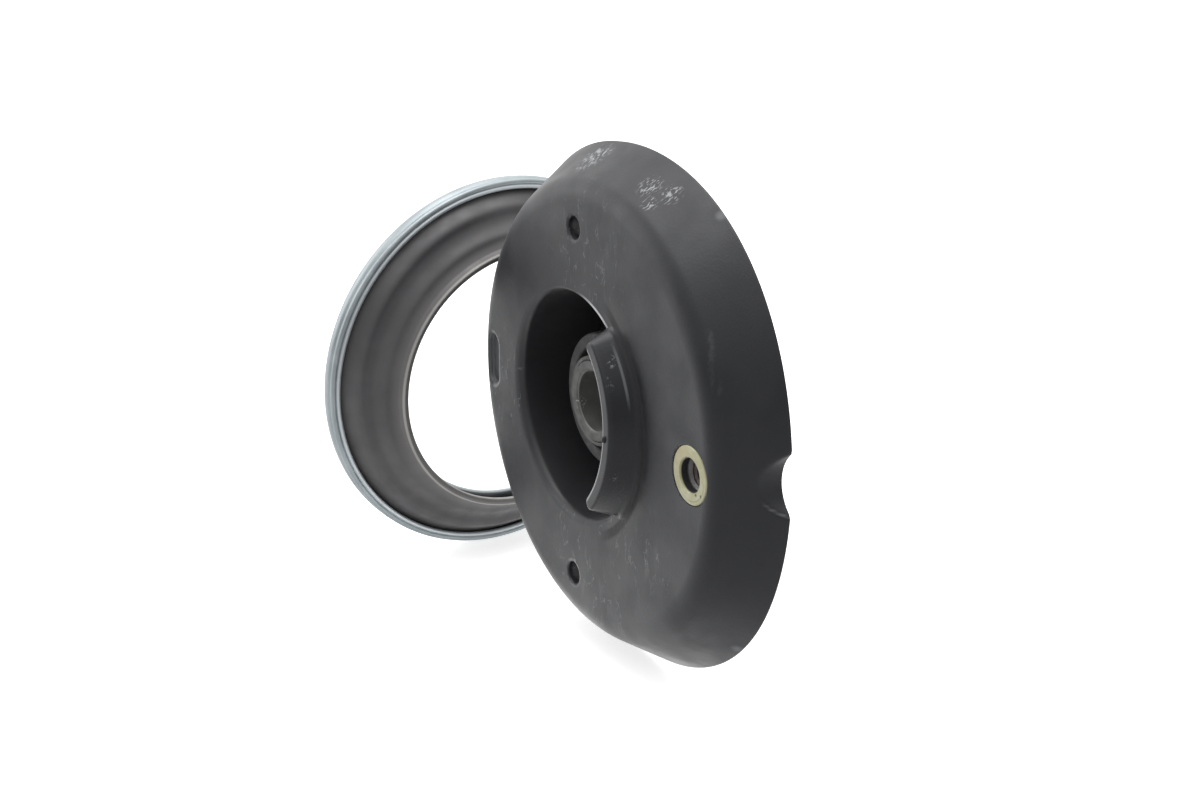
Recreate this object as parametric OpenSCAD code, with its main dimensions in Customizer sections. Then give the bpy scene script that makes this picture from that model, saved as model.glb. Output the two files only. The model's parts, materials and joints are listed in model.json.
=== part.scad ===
// Strut mount with its thrust bearing taken off and leaning on the rim.
// The rod axis runs along Y, the top face looks to -Y, and both pieces stand on their edges.

/* [Dome] */
// Radius of the dome's rim about the dome's own axis
rim_r = 71; // [69:0.5:74]
// Height of the flat top face above the rim
dome_h = 16.4; // [15:0.2:19]
// Radius of the flat top face about the dome's own axis
face_r = 56.1; // [55:0.1:57]
// Rounding of the shoulder between the top face and the wall
shoulder_r = 8; // [6:0.1:8.5]
// Distance of the dome's axis from the rod's axis
dome_offset = 7.6; // [5:0.1:9]
// Thickness of the rubber at the top face
face_t = 5; // [4:0.1:6]
// Width of the land under the rim
rim_land = 6; // [5:0.1:7]
// Radius of the round hole in the top face
hole_r = 31; // [30:0.1:32]
// Bevel on the hole's edge
hole_edge = 1.2; // [0.8:0.1:2]
// Depth of the flute in the rim, next to the insert
flute_depth = 4; // [2:0.1:4.5]
// Radius of the flute in the rim
flute_r = 10; // [8:0.5:12]

/* [Top face] */
// Distance of the two locating holes from the flat face's edge
locating_in = 7.4; // [6.6:0.1:9.1]
// Diameter of a locating hole
locating_d = 6.2; // [5:0.1:7]
// Distance of the oval recess from the flat face's edge
recess_in = 1.4; // [1.1:0.1:3.1]
// Length of the oval recess
recess_len = 15.6; // [12:0.1:18]
// Width of the oval recess
recess_w = 6; // [4:0.1:6.5]
// Depth of the oval recess
recess_depth = 3.5; // [2:0.1:3.8]

/* [Half collar] */
// Outer radius of the half collar at its foot
collar_r = 34.2; // [33.5:0.1:36]
// Amount by which the half collar leans in at its top
collar_draft = 2.8; // [1:0.1:3.2]
// Height of the half collar above the top face
collar_h = 7.2; // [5:0.1:9]
// Depth of the half collar's root below the top face
collar_root = 3.6; // [3:0.1:4]
// Radius of the half collar's inner face
collar_in_r = 28.2; // [27.5:0.1:29]
// Distance of the inner face's axis behind the rod's axis
collar_in_x = 1; // [0.5:0.1:1.5]
// Half of the angle that the half collar covers
collar_angle = 41; // [36:0.5:50]
// Turn of the half collar away from the insert's direction
collar_turn = 3; // [0:0.5:6]

/* [Carrier, bush and sleeve] */
// Thickness of the pressed steel plate
plate_t = 3; // [2:0.1:4]
// Distance of the plate's edge in from the shoulder's outer edge
plate_in = 6.1; // [4.6:0.1:7.1]
// Wall thickness of the pressed cup
cup_t = 2.5; // [2:0.1:3]
// Depth of the cup below the top face
cup_depth = 28.5; // [26:0.5:30]
// Width of the cup's inturned bottom
cup_lip = 9; // [6:0.5:11]
// Bore radius of the rod sleeve
bore_r = 8.25; // [7:0.05:8.5]
// Wall thickness of the rod sleeve at its top
sleeve_t = 2.95; // [2.4:0.05:3.2]
// Length of the rod sleeve
sleeve_len = 28; // [26:0.5:32]
// Depth of the sleeve's top below the top face
sleeve_drop = 5.8; // [5:0.1:6.5]
// Extra radius of the sleeve below its top step
sleeve_step = 1.1; // [0.6:0.1:1.4]
// Chamfer on both ends of the bore
bore_chamfer = 1.1; // [0.5:0.1:1.2]
// Outer radius of the bush's raised ring
ring_r = 18.2; // [18:0.1:20]
// Width of the bush's raised ring
ring_w = 4.2; // [3.5:0.1:4.5]
// Depth of the raised ring's top below the top face
ring_drop = 8; // [7.5:0.1:9]
// Depth of the groove between the raised ring and the sleeve
groove_depth = 3; // [2:0.1:4]
// Height of the raised ring above the web around it
ring_h = 14; // [10:0.1:15]
// Rise of the web towards the cup
web_rise = 1; // [0.5:0.1:2]
// Depth of the step below the sleeve's top
step_depth = 1.4; // [1:0.1:2]
// Small chamfer on the sleeve's outer edges
sleeve_edge = 0.5; // [0.3:0.1:0.8]

/* [Threaded insert] */
// Distance of the insert from the flat face's edge
insert_in = 5.95; // [5.6:0.05:7.1]
// Radius of the insert's flange
flange_r = 7.6; // [7:0.1:8]
// Thickness of the insert's flange
flange_t = 1.6; // [1.2:0.1:2]
// Radius of the insert's barrel
barrel_r = 5.6; // [5.3:0.1:6]
// Length of the insert below the flange
barrel_len = 13; // [10:0.5:14]
// Radius of the plain lead-in
lead_r = 4.3; // [4.1:0.05:4.5]
// Depth of the plain lead-in
lead_depth = 6; // [4:0.5:7]
// Radius of the threaded bore, at the thread's crests
thread_r = 3.4; // [3.2:0.05:3.5]

/* [Thrust bearing] */
// Outer radius of the bearing
bearing_r = 58; // [56:0.5:60]
// Width of the bearing from its opening to its outer edge
band_w = 19; // [18.5:0.1:19.5]
// Distance of the upper shell's inner edge in front of the rim's back corner
upper_lip_h = 16.8; // [16.2:0.1:17.4]
// Distance of the lower shell's inner edge in front of the rim's back corner
lower_lip_h = 9.5; // [9.2:0.1:9.8]
// Thickness of the shells' sheet, measured along the axis
sheet_h = 2; // [1.8:0.1:2.2]
// Slope of the upper shell, as rise over radius
upper_slope = 0.868; // [0.85:0.002:0.88]
// Slope of the lower shell, as rise over radius
lower_slope = 0.99; // [0.97:0.005:1.01]
// Distance of the circle of balls from the bearing's outer edge
pitch_in = 8.5; // [8.3:0.1:8.8]
// Radius of a ball
ball_r = 2.75; // [2.6:0.05:2.9]
// Number of balls
ball_count = 36; // [24:1:40]
// Height of the rolled rim's bead above the rim's back corner
bead_h = 3.6; // [3.4:0.1:3.8]
// Wall thickness of the rolled rim
wall_t = 1.6; // [1.4:0.1:1.7]
// Radius of the outer bead of the rolled rim
bead_r = 1; // [0.9:0.05:1.1]
// Radius of the inner bead of the rolled rim
inner_bead_r = 0.85; // [0.7:0.05:0.9]
// Distance of the inner bead from the outer bead's inner side
bead_gap = 0.3; // [0.2:0.05:0.4]
// Radius of the upper shell's rolled inner edge
roll_r = 1.3; // [1.1:0.1:1.4]
// Width of the lower shell's flat inner edge
lower_lip_w = 2; // [1.8:0.1:2.2]
// Radius of the bead on the lower shell's inner edge
lower_roll_r = 0.8; // [0.6:0.1:0.8]
// Length of the cage along the slope
cage_len = 7.2; // [6.6:0.1:7.4]
// Thickness of the cage
cage_t = 1.5; // [1.2:0.1:1.6]
// Turn of the leaning bearing about the vertical
bearing_yaw = 3.1; // [0:0.1:6]
// Lean of the bearing towards the dome
bearing_lean = 3; // [2:0.1:5]
// Distance of the bearing's centre behind the dome's rim
bearing_back = 0.9; // [0:0.1:2]

/* [Clearances] */
// Play between a ball and its races
ball_play = 0.05; // [0.02:0.01:0.1]
// Play between a ball and its pocket in the cage
pocket_play = 0.1; // [0.05:0.01:0.2]
// Gap between the leaning bearing and the dome's rim
lean_gap = 0.5; // [0.3:0.05:1]
// Play between the two shells at the rolled rim
rim_play = 0.4; // [0.3:0.05:0.6]

/* [Hidden] */
$fn = 128;
over = 1;

// The rod's axis meets the origin half way along the sleeve
face_lift = sleeve_drop + sleeve_len / 2;
sleeve_r = bore_r + sleeve_t;
plate_r = face_r + shoulder_r - plate_in;
locating_r = face_r - locating_in;
recess_x = face_r - dome_offset - recess_in;
insert_x = face_r + dome_offset - insert_in;
step_r = sleeve_r + sleeve_step;

// Point where the shoulder's arc runs into the straight wall
wall_dx = rim_r - face_r;
wall_dz = dome_h - shoulder_r;
wall_angle = acos(shoulder_r / norm([wall_dx, wall_dz])) - atan2(wall_dz, wall_dx);
tangent_r = face_r + shoulder_r * cos(wall_angle);
tangent_z = shoulder_r * sin(wall_angle) - shoulder_r;

// Half collar's end, worked out where its two faces cross the end angle
end_b = collar_in_x * cos(collar_angle);
end_in_r = sqrt(end_b * end_b + collar_in_r * collar_in_r - collar_in_x * collar_in_x) - end_b;
end_mid_r = (collar_r + end_in_r) / 2;
end_cap_r = (collar_r - end_in_r) / 2;

// Bearing section: the ball's centre lies half way between the two shells
opening_r = bearing_r - band_w;
pitch_r = bearing_r - pitch_in;
race_r = ball_r + ball_play;
upper_in_h = upper_lip_h - (pitch_r - opening_r) * upper_slope - sheet_h;
floor_h = 0;
lower_foot_r = opening_r + lower_lip_w + (lower_lip_h - floor_h) / lower_slope;
lower_in_h = floor_h + (lower_foot_r - pitch_r) * lower_slope;
ball_h = (upper_in_h + lower_in_h) / 2;
sheet_t = sheet_h * cos(atan(upper_slope));
upper_edge_r = bearing_r - wall_t - 2 * rim_play;
cage_angle = atan(upper_slope);

// Where the leaning bearing stands: on the dome's floor line, with its inner edge near the rim
stand_z = -rim_r + bearing_r * cos(bearing_lean) + bead_h * sin(bearing_lean);
lip_top_z = stand_z - upper_lip_h * sin(bearing_lean) + opening_r * cos(bearing_lean);
rim_x = dome_offset - sqrt(rim_r * rim_r - lip_top_z * lip_top_z);
lip_reach = (upper_lip_h * cos(bearing_lean) + opening_r * sin(bearing_lean)) * cos(bearing_yaw);
stand_x = rim_x - lean_gap - lip_reach;
stand_y = dome_h + bearing_back - face_lift;

// Turns a shape drawn with its top face at z = 0 into its standing place
module in_mount() {
    rotate([90, 0, 0]) translate([0, 0, face_lift]) children();
}

// Moves a bearing shape drawn about Z to where the bearing leans
module in_bearing() {
    translate([stand_x, stand_y, stand_z])
        rotate([0, 90 + bearing_lean, bearing_yaw]) children();
}

// Outline of the dome from its own axis outwards
module dome_section() {
    difference() {
        union() {
            polygon([[0, 0], [face_r, 0], [tangent_r, tangent_z], [rim_r, -dome_h], [0, -dome_h]]);
            translate([face_r, -shoulder_r]) circle(r = shoulder_r);
        }
        polygon([[-over, -face_t], [plate_r, -face_t], [plate_r, -face_t - plate_t],
                 [rim_r - rim_land, -dome_h - over], [rim_r - rim_land, -2 * dome_h], [-over, -2 * dome_h]]);
    }
}

// Half collar that stands on the near half of the hole
module half_collar() {
    intersection() {
        translate([0, 0, -collar_root]) linear_extrude(collar_root + collar_h) union() {
            difference() {
                intersection() {
                    circle(r = collar_r);
                    polygon([[0, 0], [2 * collar_r, -2 * collar_r * tan(collar_angle)],
                             [2 * collar_r, 2 * collar_r * tan(collar_angle)]]);
                }
                translate([-collar_in_x, 0]) circle(r = collar_in_r);
            }
            for (side = [-1, 1])
                rotate([0, 0, side * collar_angle]) translate([end_mid_r, 0]) circle(r = end_cap_r);
        }
        union() {
            cylinder(r1 = collar_r, r2 = collar_r - collar_draft, h = collar_h);
            translate([0, 0, -collar_root]) cylinder(r = collar_r, h = collar_root);
        }
    }
}

// Two holes on the line across the insert's axis, drilled through the face and the plate
module locating_drills() {
    for (side = [-1, 1])
        translate([0, side * locating_r, -dome_h]) cylinder(d = locating_d, h = dome_h + over);
}

// Oval recess with round ends, sunk in the top face
module oval_recess() {
    straight = (recess_len - recess_w) / 2;
    translate([-recess_x, 0, -recess_depth]) {
        for (side = [-1, 1])
            translate([0, side * straight, 0]) cylinder(d = recess_w, h = recess_depth + over);
        translate([-recess_w / 2, -straight, 0]) cube([recess_w, 2 * straight, recess_depth + over]);
    }
}

// Space that the insert fills in the rubber and the plate
module insert_space() {
    translate([insert_x, 0, -flange_t]) cylinder(r = flange_r, h = flange_t + over);
    translate([insert_x, 0, -dome_h]) cylinder(r = barrel_r, h = dome_h);
}

// Moulded rubber dome with its hole, half collar, recess and rim flute
module rubber_dome() {
    color("#3f4043") in_mount() {
        difference() {
            translate([dome_offset, 0, 0]) rotate_extrude() dome_section();
            translate([0, 0, -dome_h]) cylinder(r = hole_r, h = dome_h + over);
            translate([0, 0, -hole_edge])
                cylinder(r1 = hole_r, r2 = hole_r + hole_edge + over, h = hole_edge + over);
            locating_drills();
            oval_recess();
            insert_space();
            translate([dome_offset + rim_r - flute_depth + flute_r, 0, -dome_h - over])
                cylinder(r = flute_r, h = dome_h + over);
        }
        rotate([0, 0, collar_turn]) half_collar();
    }
}

// Pressed steel plate under the rubber, with the cup that holds the bush
module carrier_cup() {
    color("#232427") in_mount() difference() {
        union() {
            translate([dome_offset, 0, -face_t - plate_t]) cylinder(r = plate_r, h = plate_t);
            translate([0, 0, -cup_depth]) cylinder(r = hole_r + cup_t, h = cup_depth - face_t);
        }
        translate([0, 0, cup_t - cup_depth]) cylinder(r = hole_r, h = cup_depth);
        translate([0, 0, -cup_depth - over]) cylinder(r = hole_r - cup_lip, h = cup_depth);
        locating_drills();
        insert_space();
    }
}

// Rubber bush between the cup and the sleeve, with a raised ring around the sleeve
module rod_bush() {
    bottom = cup_t - cup_depth;
    groove = -ring_drop - groove_depth;
    web = -ring_drop - ring_h;
    color("#4a4a48") in_mount() rotate_extrude()
        polygon([[step_r, bottom], [step_r, groove], [ring_r - ring_w, groove], [ring_r - ring_w, -ring_drop],
                 [ring_r, -ring_drop], [ring_r + ring_h / 14, web], [hole_r, web + web_rise], [hole_r, bottom]]);
}

// Turned steel sleeve that the rod's end passes through
module rod_sleeve() {
    top = -sleeve_drop;
    end = top - sleeve_len;
    edge = sleeve_edge;
    step_z = top - step_depth;
    color("#8a8b8a") in_mount() rotate_extrude()
        polygon([[bore_r + bore_chamfer, top], [sleeve_r - edge, top], [sleeve_r, top - edge],
                 [sleeve_r, step_z], [step_r, step_z], [step_r, end + edge], [step_r - edge, end],
                 [bore_r + bore_chamfer, end], [bore_r, end + bore_chamfer], [bore_r, top - bore_chamfer]]);
}

// Flanged insert, plain at its mouth and threaded below
module threaded_insert() {
    bottom = -flange_t - barrel_len;
    color("#d6cf9a") in_mount() translate([insert_x, 0, 0]) difference() {
        union() {
            translate([0, 0, -flange_t]) cylinder(r = flange_r, h = flange_t);
            translate([0, 0, bottom]) cylinder(r = barrel_r, h = barrel_len);
        }
        translate([0, 0, -lead_depth]) cylinder(r = lead_r, h = lead_depth + over);
        translate([0, 0, bottom - over]) cylinder(r = thread_r, h = barrel_len + flange_t + over);
    }
}

// Lower shell: zinc-plated sheet with a ball race, an inner bead and the rolled rim
module bearing_lower_shell() {
    back = floor_h - wall_t;
    lip_r = opening_r + lower_lip_w;
    lip_mid = opening_r + lower_lip_w / 2;
    heel_r = lower_foot_r - wall_t / 3;
    color("#b4bfc4") in_bearing() rotate_extrude() difference() {
        union() {
            polygon([[bearing_r, 0], [bearing_r, bead_h], [bearing_r - wall_t, bead_h], [bearing_r - wall_t, floor_h],
                     [lower_foot_r, floor_h], [lip_r, lower_lip_h], [lip_mid, lower_lip_h],
                     [lip_mid, lower_lip_h - wall_t], [lip_r - wall_t / 3, lower_lip_h - wall_t],
                     [heel_r, back], [bearing_r - wall_t, back]]);
            translate([bearing_r - bead_r, bead_h]) circle(r = bead_r);
            translate([bearing_r - 2 * bead_r - bead_gap, bead_h + rim_play]) circle(r = inner_bead_r);
            translate([lip_mid, lower_lip_h - lower_roll_r]) circle(r = lower_roll_r);
            intersection() {
                translate([pitch_r, ball_h]) circle(r = race_r + sheet_t);
                polygon([[lower_foot_r, floor_h], [lip_r, lower_lip_h], [lip_r, -2 * race_r], [lower_foot_r, -2 * race_r]]);
            }
        }
        translate([pitch_r, ball_h]) circle(r = race_r);
    }
}

// Upper shell: dark stamped cone with a ball race and a rolled inner edge
module bearing_upper_shell() {
    edge_h = upper_lip_h - (upper_edge_r - opening_r) * upper_slope;
    ridge_r = race_r + sheet_t;
    roll_x = opening_r + roll_r;
    roll_h = upper_lip_h - roll_r * upper_slope;
    color("#5a5856") in_bearing() difference() {
        union() {
            rotate_extrude()
                polygon([[roll_x, roll_h], [upper_edge_r, edge_h],
                         [upper_edge_r, edge_h - sheet_h], [roll_x, roll_h - sheet_h]]);
            rotate_extrude() translate([opening_r + roll_r, upper_lip_h - roll_r]) circle(r = roll_r);
            rotate_extrude() intersection() {
                translate([pitch_r, ball_h]) circle(r = ridge_r);
                translate([pitch_r, upper_in_h + sheet_h / 2]) rotate(-cage_angle)
                    translate([-2 * ridge_r, 0]) square([4 * ridge_r, 2 * ridge_r]);
            }
        }
        rotate_extrude() translate([pitch_r, ball_h]) circle(r = race_r);
    }
}

// Moulded cage that spaces the balls between the shells
module ball_cage() {
    color("#c9c2ae") in_bearing() difference() {
        rotate_extrude() translate([pitch_r, ball_h]) rotate(-cage_angle)
            square([cage_len, cage_t], center = true);
        ball_ring(ball_r + pocket_play);
    }
}

// Ring of spheres on the ball circle
module ball_ring(radius) {
    for (i = [0 : ball_count - 1])
        rotate([0, 0, i * 360 / ball_count]) translate([pitch_r, 0, ball_h]) sphere(r = radius);
}

// Loose steel balls
module bearing_balls() {
    color("#c8cacc") in_bearing() ball_ring(ball_r);
}

rubber_dome();
carrier_cup();
rod_bush();
rod_sleeve();
threaded_insert();
bearing_lower_shell();
bearing_upper_shell();
ball_cage();
bearing_balls();
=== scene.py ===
import json
import math

import bmesh
import bpy
from mathutils import Matrix, Vector


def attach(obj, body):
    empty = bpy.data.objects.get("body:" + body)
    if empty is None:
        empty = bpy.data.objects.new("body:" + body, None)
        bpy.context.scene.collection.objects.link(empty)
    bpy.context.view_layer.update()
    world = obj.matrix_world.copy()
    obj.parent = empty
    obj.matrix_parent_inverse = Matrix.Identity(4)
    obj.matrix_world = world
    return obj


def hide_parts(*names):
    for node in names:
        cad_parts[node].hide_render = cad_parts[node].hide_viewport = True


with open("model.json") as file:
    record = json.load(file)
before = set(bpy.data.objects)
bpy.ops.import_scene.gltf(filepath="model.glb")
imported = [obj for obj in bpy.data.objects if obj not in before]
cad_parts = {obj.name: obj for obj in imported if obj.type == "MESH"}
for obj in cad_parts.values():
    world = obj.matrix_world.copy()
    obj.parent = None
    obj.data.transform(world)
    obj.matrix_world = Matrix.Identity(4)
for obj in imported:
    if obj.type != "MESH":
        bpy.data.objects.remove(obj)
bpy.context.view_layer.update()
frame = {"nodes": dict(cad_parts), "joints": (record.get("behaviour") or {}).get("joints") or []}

# Rubber dome: one black moulding with a flat face, a soft shoulder and a wall that flares to the rim.
# It is vulcanised round the steel carrier, so the hole and the rim's flute come straight from the mould.
# Handling has left chalky marks on the top of the wall and pale rubs on the face.
FACE_Y = -0.0198
DOME_X = 0.0076
RIM_R = 0.071
DOME_H = 0.0164
FACE_R = 0.0561
FACE_IN_R = 0.0345
SHOULDER_R = 0.008
HOLE_R = 0.031
HOLE_EDGE = 0.0017
HOLE_EDGE_SWING = 0.6
HOLE_EDGE_TURN = 0.6
FACE_T = 0.005
WELL_DEPTH = 0.025
PLATE_T = 0.003
PLATE_R = 0.058
RIM_LAND = 0.006
RIM_EDGE = 0.0004
RIM_WANDER = 0.0009
WANDER_WAVES = 3.8
WANDER_ENDS = 135
WANDER_FADE = 35
FLUTE_R = 0.010
FLUTE_DEPTH = 0.0055
FLUTE_RISE = 0.0010
FLUTE_EASE = 0.0007
FLUTE_X = DOME_X + RIM_R - FLUTE_DEPTH + FLUTE_R


def stood_up(x, y, z):
    """A point drawn with the face at z = 0 and the insert along x, moved to where the mount stands."""
    return (x, FACE_Y - z, y)


def piece_from(name, points, faces):
    """A smooth-shaded object with its faces turned outwards."""
    mesh = bpy.data.meshes.new(name)
    mesh.from_pydata(points, [], faces)
    edit = bmesh.new()
    edit.from_mesh(mesh)
    bmesh.ops.recalc_face_normals(edit, faces=edit.faces)
    edit.to_mesh(mesh)
    edit.free()
    mesh.polygons.foreach_set("use_smooth", [True] * len(mesh.polygons))
    piece = bpy.data.objects.new(name, mesh)
    bpy.context.scene.collection.objects.link(piece)
    return piece


def ring_faces(rows, turns, closed):
    """Quads between rows of points, each row going once round."""
    faces = []
    for i in range(rows if closed else rows - 1):
        j = (i + 1) % rows
        for k in range(turns):
            m = (k + 1) % turns
            faces.append((i * turns + k, i * turns + m, j * turns + m, j * turns + k))
    return faces


def arc(centre, radius, start, end, steps):
    """Points on an arc in the plane of a section, with angles in degrees."""
    angles = [math.radians(start + (end - start) * i / steps) for i in range(steps + 1)]
    return [(centre[0] + radius * math.cos(a), centre[1] + radius * math.sin(a)) for a in angles]


def flute_depth_at(x, y):
    """How far a point of the wall lies inside the rim's flute, eased along the flute's edges."""
    if abs(y - FLUTE_RISE) >= FLUTE_R:
        return 0.0
    inside = x - (FLUTE_X - math.sqrt(FLUTE_R ** 2 - (y - FLUTE_RISE) ** 2))
    if inside > FLUTE_EASE:
        return inside
    return max(0.0, inside + FLUTE_EASE) ** 2 / (4 * FLUTE_EASE)


def rim_wander(a):
    """How far the real rim leaves its circle: flatter at the flute, top and bottom, and fuller between."""
    turned = abs((math.degrees(a) + 180) % 360 - 180)
    fade = min(1.0, max(0.0, (WANDER_ENDS - turned) / WANDER_FADE))
    return -RIM_WANDER * math.cos(WANDER_WAVES * math.radians(turned)) * fade


# Each row of the section is a centre along x, a radius and a height: the hole lies round the rod,
# the shoulder and the rim lie round DOME_X, and the face's rows move from one centre to the other
rim_dx, rim_dz = RIM_R - FACE_R, DOME_H - SHOULDER_R
wall_angle = math.degrees(math.acos(SHOULDER_R / math.hypot(rim_dx, rim_dz)) - math.atan2(rim_dz, rim_dx))
hole_edge = arc((1, -1), 1, 180, 90, 10)
section = [(0.0, HOLE_R - 0.0002, 0.0001 - WELL_DEPTH)]
section += [(0.0, HOLE_R - 0.0001, -0.012), (0.0, HOLE_R, -0.0034)]
edge_row = len(section)
section += [(0.0, HOLE_R, 0.0) for point in hole_edge]
FACE_ROWS = 20
for t in range(FACE_ROWS):
    section.append((DOME_X * t / FACE_ROWS, FACE_IN_R + (FACE_R - FACE_IN_R) * t / FACE_ROWS, 0.0))
section += [(DOME_X, r, z) for r, z in arc((FACE_R, -SHOULDER_R), SHOULDER_R, 90, wall_angle, 14)]
_, wall_r, wall_z = section[-1]
foot_z = RIM_EDGE - DOME_H
WALL_ROWS = 28
for t in range(1, WALL_ROWS + 1):
    r = wall_r + (RIM_R - wall_r) * t / WALL_ROWS
    section.append((DOME_X, r, wall_z + (foot_z - wall_z) * t / WALL_ROWS))
section += [(DOME_X, r, z) for r, z in arc((RIM_R - RIM_EDGE, foot_z), RIM_EDGE, -20, -90, 3)]
section += [(DOME_X, RIM_R - t * RIM_LAND / 4, -DOME_H) for t in (1, 2, 3, 4)]
section += [(DOME_X, PLATE_R, -FACE_T - PLATE_T), (DOME_X, PLATE_R, -FACE_T), (DOME_X / 2, 0.045, -FACE_T)]
section += [(0.0, HOLE_R, -FACE_T - 0.0002), (0.0, HOLE_R, -WELL_DEPTH)]
TURNS = 400
dome_points = []
for row, (centre_x, base_r, base_z) in enumerate(section):
    for k in range(TURNS):
        a = 2 * math.pi * k / TURNS
        radius, z = base_r, base_z
        if edge_row <= row < edge_row + len(hole_edge):
            out, up = hole_edge[row - edge_row]
            ease = HOLE_EDGE * (1 - HOLE_EDGE_SWING * math.cos(a - HOLE_EDGE_TURN))
            radius, z = HOLE_R + ease * out, ease * up
        if radius > PLATE_R + 0.0001:
            radius += rim_wander(a) * (radius - PLATE_R) / (RIM_R - PLATE_R)
        x, y = centre_x + radius * math.cos(a), radius * math.sin(a)
        if z < -0.004 and radius > PLATE_R + 0.001:
            x -= flute_depth_at(x, y)
        dome_points.append(stood_up(x, y, z))
dome = piece_from("dome_moulding", dome_points, ring_faces(len(section), TURNS, True))


def eased_cutter(name, outline, depth, ease):
    """A plug whose mouth widens towards the face, so that what it cuts has an eased edge."""
    levels = [(-depth, 0.0)]
    levels += [(-ease * (1 - math.sin(a)), ease * (1 - math.cos(a))) for a in (0, 0.4, 0.8, 1.2, 1.5)]
    levels += [(0.002, levels[-1][1] + 0.00002)]
    points = [stood_up(x, y, z) for z, grow in levels for x, y in outline(grow)]
    count = len(outline(0.0))
    faces = ring_faces(len(levels), count, False)
    faces += [tuple(range(count)), tuple(range((len(levels) - 1) * count, len(levels) * count))]
    return piece_from(name, points, faces)


def oval(x, y, radius, half_straight=0.0):
    """An outline with round ends, a circle if it has no straight part."""
    def grown(grow):
        around = []
        for k in range(64):
            a = 2 * math.pi * (k + 0.5) / 64
            shift = half_straight if k < 32 else -half_straight
            around.append((x + (radius + grow) * math.cos(a), y + shift + (radius + grow) * math.sin(a)))
        return around
    return grown


LOCATING_R = 0.0487
LOCATING_HOLE_R = 0.0031
RECESS_X = -0.0471
RECESS_Y = -0.0006
RECESS_HALF = 0.0042
RECESS_END_R = 0.003
INSERT_X = 0.05775
FLANGE_SEAT_R = 0.00765
BARREL_SEAT_R = 0.0057
cutters = [
    eased_cutter("upper_hole", oval(0, LOCATING_R, LOCATING_HOLE_R), 0.0062, 0.0006),
    eased_cutter("lower_hole", oval(0, -LOCATING_R, LOCATING_HOLE_R), 0.0062, 0.0006),
    eased_cutter("oval_recess", oval(RECESS_X, RECESS_Y, RECESS_END_R, RECESS_HALF), 0.0022, 0.0012),
    eased_cutter("flange_seat", oval(INSERT_X, 0, FLANGE_SEAT_R), 0.0017, 0.0002),
    eased_cutter("barrel_seat", oval(INSERT_X, 0, BARREL_SEAT_R), 0.0062, 0.0002),
]
for cutter in cutters:
    cut = dome.modifiers.new(cutter.name, "BOOLEAN")
    cut.operation = "DIFFERENCE"
    cut.solver = "EXACT"
    cut.object = cutter
cut_dome = bpy.data.meshes.new_from_object(dome.evaluated_get(bpy.context.evaluated_depsgraph_get()))
dome.modifiers.clear()
dome.data = cut_dome
for cutter in cutters:
    bpy.data.objects.remove(cutter)
even = dome.modifiers.new("flat_face_stays_flat", "WEIGHTED_NORMAL")
even.keep_sharp = True


def shader(name):
    """A new material, its node tree and its surface shader."""
    material = bpy.data.materials.new(name)
    material.use_nodes = True
    return material, material.node_tree, material.node_tree.nodes["Principled BSDF"]


def own_coords(tree):
    """The piece's own coordinates, in metres."""
    return tree.nodes.new("ShaderNodeTexCoord").outputs["Object"]


def split(tree, vector):
    """The x, y and z of a vector."""
    node = tree.nodes.new("ShaderNodeSeparateXYZ")
    tree.links.new(vector, node.inputs["Vector"])
    return node.outputs["X"], node.outputs["Y"], node.outputs["Z"]


def noise(tree, coords, scale, detail=4.0, stretch=(1, 1, 1)):
    """Noise in the piece's own coordinates, in features per metre."""
    mapping = tree.nodes.new("ShaderNodeMapping")
    mapping.inputs["Scale"].default_value = stretch
    tree.links.new(coords, mapping.inputs["Vector"])
    texture = tree.nodes.new("ShaderNodeTexNoise")
    texture.inputs["Scale"].default_value = scale
    texture.inputs["Detail"].default_value = detail
    tree.links.new(mapping.outputs["Vector"], texture.inputs["Vector"])
    return texture.outputs["Fac"]


def graded(tree, value, low, high, out_low=0.0, out_high=1.0):
    """A value moved smoothly from one range to another."""
    node = tree.nodes.new("ShaderNodeMapRange")
    node.interpolation_type = "SMOOTHSTEP"
    for key, number in (("From Min", low), ("From Max", high), ("To Min", out_low), ("To Max", out_high)):
        node.inputs[key].default_value = number
    tree.links.new(value, node.inputs["Value"])
    return node.outputs["Result"]


def worked(tree, operation, *values):
    """A value worked out from one or two others, each a number or another node's value."""
    node = tree.nodes.new("ShaderNodeMath")
    node.operation = operation
    for socket, value in zip(node.inputs, values):
        if isinstance(value, (int, float)):
            socket.default_value = value
        else:
            tree.links.new(value, socket)
    return node.outputs[0]


def product(tree, first, *others):
    """Values multiplied together."""
    for other in others:
        first = worked(tree, "MULTIPLY", first, other)
    return first


def largest(tree, first, *others):
    """The largest of some values."""
    for other in others:
        first = worked(tree, "MAXIMUM", first, other)
    return first


def past(tree, value, start):
    """How far a value lies past a start."""
    return worked(tree, "SUBTRACT", value, start)


def distance(tree, across, along):
    """The distance from two values at right angles to each other."""
    squares = worked(tree, "ADD", product(tree, across, across), product(tree, along, along))
    return worked(tree, "SQRT", squares)


def band(tree, value, rise, fall):
    """1 where a value lies between a rising edge and a falling edge, 0 outside them."""
    return product(tree, graded(tree, value, *rise), graded(tree, value, *fall))


def painted(tree, amount, under, over, strength=1.0):
    """One colour over another, by an amount that varies over the piece."""
    if strength != 1.0:
        amount = product(tree, amount, strength)
    node = tree.nodes.new("ShaderNodeMix")
    node.data_type = "RGBA"
    tree.links.new(amount, node.inputs["Factor"])
    for socket, colour in ((node.inputs[6], under), (node.inputs[7], over)):
        if isinstance(colour, tuple):
            socket.default_value = colour + (1,)
        else:
            tree.links.new(colour, socket)
    return node.outputs[2]


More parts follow.
